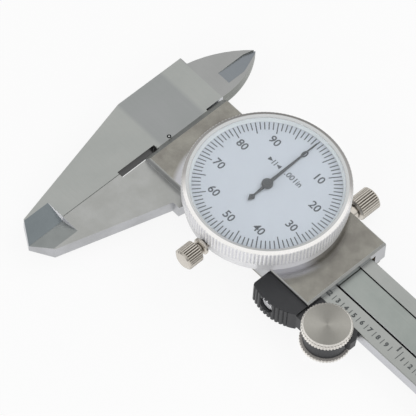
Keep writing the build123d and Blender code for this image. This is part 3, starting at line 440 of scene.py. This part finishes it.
for group, material in (
    (("beam",), groundBeam),
    (("rack", "depth_rod"), groundCover),
    (("slider",), blastedSlider),
    (("back_plate", "end_stop"), blastedPlate),
    (("head_dowel",), drivenDowel),
    (("rack_pins", "end_stop_screws", "gib_screws", "back_plate_screws", "depth_rod_rivets",
      "case_screws", "bridge_screws", "hairspring", "gear_shaft", "takeup_arbor", "roller_hub",
      "roller_axle"), temperedSteel),
    (("bezel",), satinChrome),
    (("dial_case", "thumb_rest_screw"), brightChrome),
    (("bezel_clip", "bezel_clamp_screw", "lock_screw"), brightNickel),
    (("gib", "case_bushes", "bridge", "bridge_bushes", "bridge_posts", "hairspring_stud", "drive_gear",
      "takeup_wheel"), clockBrass),
    (("roller_front_disc", "roller_rear_disc"), facedSteel),
    (("roller_tyre",), nitrileRubber),
    (("thumb_rest",), mouldedNylon),
    (("dial_face",), dialEnamel),
    (("dial_spacer",), anodisedRing),
    (("pointer", "pointer_arbor"), gunmetalLacquer),
    (("crystal",), castAcrylic),
):
    for name in group:
        finish(name, material)
print("materials done")


def boxes(centres, directions, lengths, widths, base, height):
    # one upright bar for each centre: its long side along the direction, closed on all six sides
    centres, directions = np.asarray(centres, float), np.asarray(directions, float)
    side = np.stack([-directions[:, 1], directions[:, 0]], axis=1)
    half = directions * np.asarray(lengths)[:, None] / 2
    across = side * np.asarray(widths)[:, None] / 2
    flat = np.stack([centres - half - across, centres + half - across,
                     centres + half + across, centres - half + across], axis=1)
    low = np.concatenate([flat, np.full((*flat.shape[:2], 1), base)], axis=2)
    high = np.concatenate([flat, np.full((*flat.shape[:2], 1), base + height)], axis=2)
    points = np.concatenate([low, high], axis=1).reshape(-1, 3)
    one = np.array([[3, 2, 1, 0], [4, 5, 6, 7], [0, 1, 5, 4], [1, 2, 6, 5], [2, 3, 7, 6], [3, 0, 4, 7]])
    faces = (one[None] + 8 * np.arange(len(centres))[:, None, None]).reshape(-1, 4)
    return points, faces


digitHeight = 0.729  # height of a digit in the built-in face at size 1


def lettering(words, capHeight, centre, base, height, weight=0.0):
    # words in the built-in face, made a mesh first, then sized and put in place, in metres
    curve = bpy.data.curves.new("lettering", "FONT")
    curve.body = words
    curve.resolution_u = 3
    curve.extrude = 0.5
    curve.offset = weight
    curve.align_x = "CENTER"
    text = bpy.data.objects.new("lettering", curve)
    bpy.context.scene.collection.objects.link(text)
    bpy.context.view_layer.update()
    mesh = bpy.data.meshes.new_from_object(text)
    points = np.empty(3 * len(mesh.vertices))
    mesh.vertices.foreach_get("co", points)
    points = points.reshape(-1, 3)
    faces = [tuple(face.vertices) for face in mesh.polygons]
    bpy.data.objects.remove(text)
    bpy.data.meshes.remove(mesh)
    bpy.data.curves.remove(curve)
    scale = capHeight / digitHeight
    points = points * (scale, scale, height)
    points[:, 1] -= capHeight / 2
    points[:, 2] += base + height / 2
    points[:, 0] -= (points[:, 0].min() + points[:, 0].max()) / 2
    points[:, :2] += centre
    return points, faces


def joined(parts):
    # several meshes as one
    points, faces, start = [], [], 0
    for partPoints, partFaces in parts:
        points.append(partPoints)
        faces += [tuple(int(i) + start for i in face) for face in partFaces]
        start += len(partPoints)
    return np.concatenate(points), faces


dial = {  # millimetres and degrees, from the dial's axis
    "face": 9.70,
    "turn": -1.8,  # the zero's place from the dial's top, under the needle
    "film": 0.02,
    "marks": 100,
    "marksPerNumeral": 10,
    "outer": 16.94,
    "shortLength": 2.05,
    "longLength": 3.04,
    "markWidth": 0.26,
    "numeralRadius": 12.0,
    "numeralHeight": 2.05,
    "weight": 0.018,
    "unit": ".001in",
    "unitHeight": 1.5,
    "unitWeight": 0.012,
    "unitPlace": (2.85, 5.45),
    "symbolPlace": (-3.15, 5.3),
    "barWidth": 0.22,
    "barHalf": 0.7,
    "barX": 0.36,
    "tipX": 0.62,
    "arrowX": 1.85,
    "arrowHalf": 0.55,
}

# marks: each one lies on a ray from the centre, at equal angles clockwise from the dial's top
dialCentre = np.array(dialAxis) * mm
division = 360 / dial["marks"]
angles = np.radians(dial["turn"] + 360 * np.arange(dial["marks"]) / dial["marks"])
rays = np.stack([np.sin(angles), np.cos(angles)], axis=1)
markLengths = np.where(np.arange(dial["marks"]) % 5 == 0, dial["longLength"], dial["shortLength"]) * mm
markCentres = dialCentre + rays * (dial["outer"] * mm - markLengths / 2)[:, None]
points, faces = boxes(markCentres, rays, markLengths, np.full(dial["marks"], dial["markWidth"] * mm),
                      dial["face"] * mm, dial["film"] * mm)
addPiece("dial_marks", points, faces, dialInk, "bezel_body")

parts = []
for number in range(0, dial["marks"], dial["marksPerNumeral"]):
    angle = math.radians(dial["turn"] + division * number)
    place = dialCentre + np.array([math.sin(angle), math.cos(angle)]) * dial["numeralRadius"] * mm
    parts.append(lettering(str(number), dial["numeralHeight"] * mm, place, dial["face"] * mm,
                           dial["film"] * mm, dial["weight"]))
points, faces = joined(parts)
addPiece("dial_numerals", points, faces, dialInk, "bezel_body")

place = dialCentre + np.array(dial["unitPlace"]) * mm
points, faces = lettering(dial["unit"], dial["unitHeight"] * mm, place, dial["face"] * mm,
                          dial["film"] * mm, dial["unitWeight"])
addPiece("dial_unit", points, faces, dialInk, "bezel_body")

# symbol: two bars with an arrowhead pointing at each from outside, the width of one division
outline = np.array([(dial["tipX"], 0), (dial["arrowX"], dial["arrowHalf"]),
                    (dial["arrowX"], -dial["arrowHalf"])])
symbol = []
for side in (-1, 1):
    place = dialCentre + (np.array(dial["symbolPlace"]) + (side * dial["barX"], 0)) * mm
    bars = boxes([place], [(0, 1)], [2 * dial["barHalf"] * mm], [dial["barWidth"] * mm],
                 dial["face"] * mm, dial["film"] * mm)
    flat = (outline * (side, 1) + dial["symbolPlace"]) * mm + dialCentre
    head = np.concatenate([np.c_[flat, np.full(3, dial["face"] * mm)],
                           np.c_[flat, np.full(3, (dial["face"] + dial["film"]) * mm)]])
    symbol += [bars, (head, [(2, 1, 0), (3, 4, 5), (0, 1, 4, 3), (1, 2, 5, 4), (2, 0, 3, 5)])]
points, faces = joined(symbol)
addPiece("dial_symbol", points, faces, dialInk, "bezel_body")

scale = {  # millimetres, in the frame's axes
    "zero": 50.8,
    "division": 2.54,
    "count": 60,
    "perInch": 10,
    "top": 1.75,
    "film": 0.015,
    "shortMark": (26.48, 28.02),
    "inchMark": (26.25, 28.9),
    "markWidth": 0.17,
    "digitHeight": 1.2,
    "digitShift": -1.35,
    "digitY": 27.4,
    "inchHeight": 1.5,
    "inchShift": -1.15,
    "inchY": 28.8,
    "weight": 0.05,
}

# scale: a mark every tenth of an inch on the lower land, a longer one at each inch
index = np.arange(scale["count"] + 1)
isInch = index % scale["perInch"] == 0
low = np.where(isInch, scale["inchMark"][0], scale["shortMark"][0]) * mm
high = np.where(isInch, scale["inchMark"][1], scale["shortMark"][1]) * mm
x = (scale["zero"] + scale["division"] * index) * mm
points, faces = boxes(np.c_[x, (low + high) / 2], np.tile((0.0, 1.0), (len(x), 1)), high - low,
                      np.full(len(x), scale["markWidth"] * mm), scale["top"] * mm, scale["film"] * mm)
addPiece("scale_marks", points, faces, etchedFill, "beam_body")

parts = []
for number in range(1, scale["count"] + 1):
    inches, tenths = divmod(number, scale["perInch"])
    kind = "digit" if tenths else "inch"
    across = scale["zero"] + scale["division"] * number + scale[kind + "Shift"]
    place = np.array([across, scale[kind + "Y"]]) * mm
    parts.append(lettering(str(tenths or inches), scale[kind + "Height"] * mm, place, scale["top"] * mm,
                           scale["film"] * mm, scale["weight"]))
points, faces = joined(parts)
addPiece("scale_numerals", points, faces, etchedFill, "beam_body")
print("print done")


bezel = {  # millimetres, in the frame's axes
    "bottom": 6.20,
    "top": 10.95,
    "radius": 19.30,
    "neckRadius": 17.14,
    "windowRadius": 18.10,
    "lipRadius": 17.60,
    "lipHeight": 10.64,
    "crestRadius": 18.35,
    "slopeRadius": 19.10,
    "slopeHeight": 10.66,
    "seat": 9.20,
    "knurlTop": 10.54,
    "knurlDepth": 0.14,
    "grooves": 140,
    "stepsPerGroove": 8,
    # steps of the profile: radius, height and share of the knurl, from the corner that each is named for
    "foot": ((-0.55, 0, 0), (-0.32, 0.02, 0.2), (-0.12, 0.16, 0.7), (0, 0.40, 1)),
    "shoulder": ((0, -0.12, 1), (-0.05, 0, 0.6), (-0.14, 0.07, 0.2)),
    "slope": ((0, 0, 0), (-0.06, 0.03, 0)),
    "crest": ((0.12, -0.045, 0), (0.06, -0.02, 0), (0, 0, 0), (-0.05, -0.015, 0), (-0.10, -0.035, 0)),
    "lip": ((0.09, 0.09, 0), (0.03, 0.07, 0), (0, 0.05, 0), (0, 0, 0)),
    "bandLow": 0.3,  # the painted shade in the grooves stays this far inside the knurled band
    "bandHigh": 0.05,
}


def corner(steps, radius, height):
    # the steps of one corner of the profile, placed
    return [(radius + outwards, height + upwards, share) for outwards, upwards, share in steps]


# bezel: a closed profile carried round the dial's axis. From its crest the rim falls both ways as a cone.
# In the knurled band the radius dips by a cosine of the angle, one dip for each groove, and the dip
# fades out over the rows above and below
low, knurlTop = bezel["bottom"], bezel["knurlTop"]
profile = np.array([  # radius, height, share of the knurl
    (bezel["neckRadius"], low, 0),
    *corner(bezel["foot"], bezel["radius"], low),
    (bezel["radius"], (low + knurlTop) / 2, 1),
    *corner(bezel["shoulder"], bezel["radius"], knurlTop),
    *corner(bezel["slope"], bezel["slopeRadius"], bezel["slopeHeight"]),
    *corner(bezel["crest"], bezel["crestRadius"], bezel["top"]),
    *corner(bezel["lip"], bezel["lipRadius"], bezel["lipHeight"]),
    (bezel["windowRadius"], bezel["lipHeight"], 0),
    (bezel["windowRadius"], bezel["seat"], 0),
    (bezel["neckRadius"], bezel["seat"], 0),
])
columns = bezel["grooves"] * bezel["stepsPerGroove"]
around = 2 * np.pi * np.arange(columns) / columns
dip = bezel["knurlDepth"] * (0.5 + 0.5 * np.cos(bezel["grooves"] * around))
radius = profile[:, :1] - profile[:, 2:] * dip[None]
points = np.stack([dialAxis[0] + radius * np.cos(around), dialAxis[1] + radius * np.sin(around),
                   np.broadcast_to(profile[:, 1:2], radius.shape)], axis=-1).reshape(-1, 3) * mm
shell = addPiece("knurled_bezel", points, ringFaces(len(profile), columns), satinChrome, "bezel_body",
                 smooth=True)
# each vertex carries how deep it lies in its groove, 0 to 1, which gives the plating a painted shade there
placed = np.empty(3 * len(shell.data.vertices))
shell.data.vertices.foreach_get("co", placed)
placed = placed.reshape(-1, 3) / mm
depth = bezel["radius"] - np.hypot(placed[:, 0] - dialAxis[0], placed[:, 1] - dialAxis[1])
inBand = (placed[:, 2] > low + bezel["bandLow"]) & (placed[:, 2] < knurlTop - bezel["bandHigh"])
grooveDepth = shell.data.attributes.new("grooveDepth", "FLOAT", "POINT")
grooveDepth.data.foreach_set("value", np.where(inBand, np.clip(depth / bezel["knurlDepth"], 0, 1), 0.0))
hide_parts("bezel")
print("bezel done")

crystal = {  # millimetres, in the frame's axes
    "radius": 18.07,
    "bottom": 10.51,
    "edge": 10.62,
    "crown": 0.22,
    "rings": 14,
    "columns": 96,
    "firstRing": 0.08,  # rings as shares of the radius, the last ones close together
    "lastRings": (0.99, 0.998, 1.0),
}

# crystal: flat underneath, and above a shallow dome whose height falls with the square of the
# distance from the axis; both faces are rings of points round a middle point, joined at the rim
share = np.append(np.linspace(crystal["firstRing"], crystal["lastRings"][0], crystal["rings"] - 2),
                  crystal["lastRings"][1:])
around = 2 * np.pi * np.arange(crystal["columns"]) / crystal["columns"]
discX = dialAxis[0] + crystal["radius"] * share[:, None] * np.cos(around)
discY = dialAxis[1] + crystal["radius"] * share[:, None] * np.sin(around)
domeZ = np.broadcast_to(crystal["edge"] + crystal["crown"] * (1 - share[:, None] ** 2), discX.shape)
flatZ = np.full(discX.shape, crystal["bottom"])
upper, lower = np.stack([discX, discY, domeZ], axis=-1), np.stack([discX, discY, flatZ], axis=-1)[::-1]
middles = np.array([(*dialAxis, crystal["edge"] + crystal["crown"]), (*dialAxis, crystal["bottom"])])
points = np.concatenate([upper.reshape(-1, 3), lower.reshape(-1, 3), middles]) * mm
rows, columns = 2 * crystal["rings"], crystal["columns"]
j = np.arange(columns)
last = (rows - 1) * columns
fans = [(int(a), int(b), rows * columns) for a, b in zip(j, (j + 1) % columns)]
fans += [(last + int(b), last + int(a), rows * columns + 1) for a, b in zip(j, (j + 1) % columns)]
faces = [tuple(face) for face in ringFaces(rows, columns, closed=False).tolist()] + fans
dome = addPiece("domed_crystal", points, faces, castAcrylic, "bezel_body", smooth=True)
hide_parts("crystal")
print("crystal done")


stage = {  # metres
    "floorHeight": -3.07 * mm,  # a hair under the lowest face
    "floorSize": 2.4,
    "floorColour": "#FAFAFA",
    "floorGlow": 0.88,
    "horizonColour": "#9C9C9B",
    "horizonAt": (0.05, 0.55),  # sine of the height where the tent is greyest, and where it is white
    "fill": 0.50,
}


def seenShare(tree, path):
    # 1 for rays from the camera, straight, by a mirror or through glass, and 0 for all other light
    share = path.outputs["Is Camera Ray"]
    for kind in ("Is Glossy Ray", "Is Transmission Ray"):
        larger = addNode(tree, "ShaderNodeMath", {"operation": "MAXIMUM"}, {0: share, 1: path.outputs[kind]})
        share = larger.outputs[0]
    return share


floorMaterial, tree, shader = newMaterial("paleFloor", {"Base Color": hexColour(stage["floorColour"]),
                                                        "Roughness": 0.9})
seen = seenShare(tree, addNode(tree, "ShaderNodeLightPath"))
share = addNode(tree, "ShaderNodeMath", {"operation": "MULTIPLY", 1: stage["floorGlow"]}, {0: seen})
glow = addNode(tree, "ShaderNodeEmission", {"Color": (1, 1, 1, 1), "Strength": 1.0})
mixed = addNode(tree, "ShaderNodeMixShader", {},
                {0: share.outputs[0], 1: shader.outputs[0], 2: glow.outputs[0]})
output = [n for n in tree.nodes if n.type == "OUTPUT_MATERIAL"][0]
tree.links.new(mixed.outputs[0], output.inputs["Surface"])
half = stage["floorSize"] / 2
floorMesh = bpy.data.meshes.new("floor")
floorMesh.from_pydata([(x, y, stage["floorHeight"]) for x, y in
                       ((-half, -half), (half, -half), (half, half), (-half, half))], [], [(0, 1, 2, 3)])
floorMesh.materials.append(floorMaterial)
floor = bpy.data.objects.new("floor", floorMesh)
bpy.context.scene.collection.objects.link(floor)

# world: a light tent, white overhead and a little greyer towards the horizon
world = bpy.data.worlds.new("lightTent")
bpy.context.scene.world = world
world.use_nodes = True
tree = world.node_tree
tree.nodes.clear()
direction = addNode(tree, "ShaderNodeTexCoord")
axes = addNode(tree, "ShaderNodeSeparateXYZ", {}, {0: direction.outputs["Generated"]})
height = addNode(tree, "ShaderNodeMapRange",
                 {"interpolation_type": "SMOOTHSTEP", "From Min": stage["horizonAt"][0],
                  "From Max": stage["horizonAt"][1]},
                 {"Value": axes.outputs["Z"]})
tent = addNode(tree, "ShaderNodeMix",
               {"data_type": "RGBA", 6: hexColour(stage["horizonColour"]), 7: (1, 1, 1, 1)},
               {0: height.outputs[0]})
path = addNode(tree, "ShaderNodeLightPath")
strength = addNode(tree, "ShaderNodeMapRange", {"To Min": stage["fill"], "To Max": 1.0},
                   {"Value": seenShare(tree, path)})
white = addNode(tree, "ShaderNodeMix", {"data_type": "RGBA", 7: (1, 1, 1, 1)},
                {0: path.outputs["Is Camera Ray"], 6: tent.outputs[2]})
background = addNode(tree, "ShaderNodeBackground", {},
                     {"Color": white.outputs[2], "Strength": strength.outputs[0]})
addNode(tree, "ShaderNodeOutputWorld", {}, {"Surface": background.outputs[0]})

# soft panels round the part. Metal shows the tent in its shine and not the lamps
lamps = {  # direction from the part's middle, distance and size in metres, watts
    "backPanel": ((0.03, 0.84, 0.55), 0.8, 0.50, 1.7),
    "rightPanel": ((0.84, 0.40, 0.36), 0.8, 0.50, 1.0),
    "frontPanel": ((-0.38, -0.84, 0.36), 0.8, 0.50, 1.3),
    "lowPanel": ((0.60, -0.70, 0.20), 0.8, 0.50, 2.6),
}
lampAim = Vector((0.03, 0.02, 0.0))
for name, (where, distance, size, watts) in lamps.items():
    lamp = bpy.data.lights.new(name, "AREA")
    lamp.size = size
    lamp.energy = watts
    holder = bpy.data.objects.new(name, lamp)
    holder.visible_glossy = False
    bpy.context.scene.collection.objects.link(holder)
    offset = Vector(where).normalized() * distance
    holder.matrix_world = (Matrix.Translation(lampAim + offset)
                           @ offset.to_track_quat("Z", "Y").to_matrix().to_4x4())

shot = {  # the photograph's view: metres, degrees, and millimetres for the lens and the sensor
    "aim": (0.019915, 0.022452, 0.001750),
    "distance": 0.9796,
    "azimuth": 43.41,
    "elevation": 56.88,
    "roll": 4.209,
    "lens": 377.21,
    "sensor": 36.0,
    "nearest": 0.01,
}
turn, rise = math.radians(shot["azimuth"]), math.radians(shot["elevation"])
back = Vector((math.sin(turn) * math.cos(rise), -math.cos(turn) * math.cos(rise), math.sin(rise)))
camera = bpy.data.objects.new("camera", bpy.data.cameras.new("camera"))
bpy.context.scene.collection.objects.link(camera)
camera.data.lens = shot["lens"]
camera.data.sensor_width = shot["sensor"]
camera.data.clip_start = shot["nearest"]
camera.matrix_world = (Matrix.Translation(Vector(shot["aim"]) + back * shot["distance"])
                       @ back.to_track_quat("Z", "Y").to_matrix().to_4x4()
                       @ Matrix.Rotation(math.radians(shot["roll"]), 4, "Z"))
bpy.context.scene.camera = camera
bpy.context.scene.view_settings.view_transform = "Standard"
print("light and camera done")
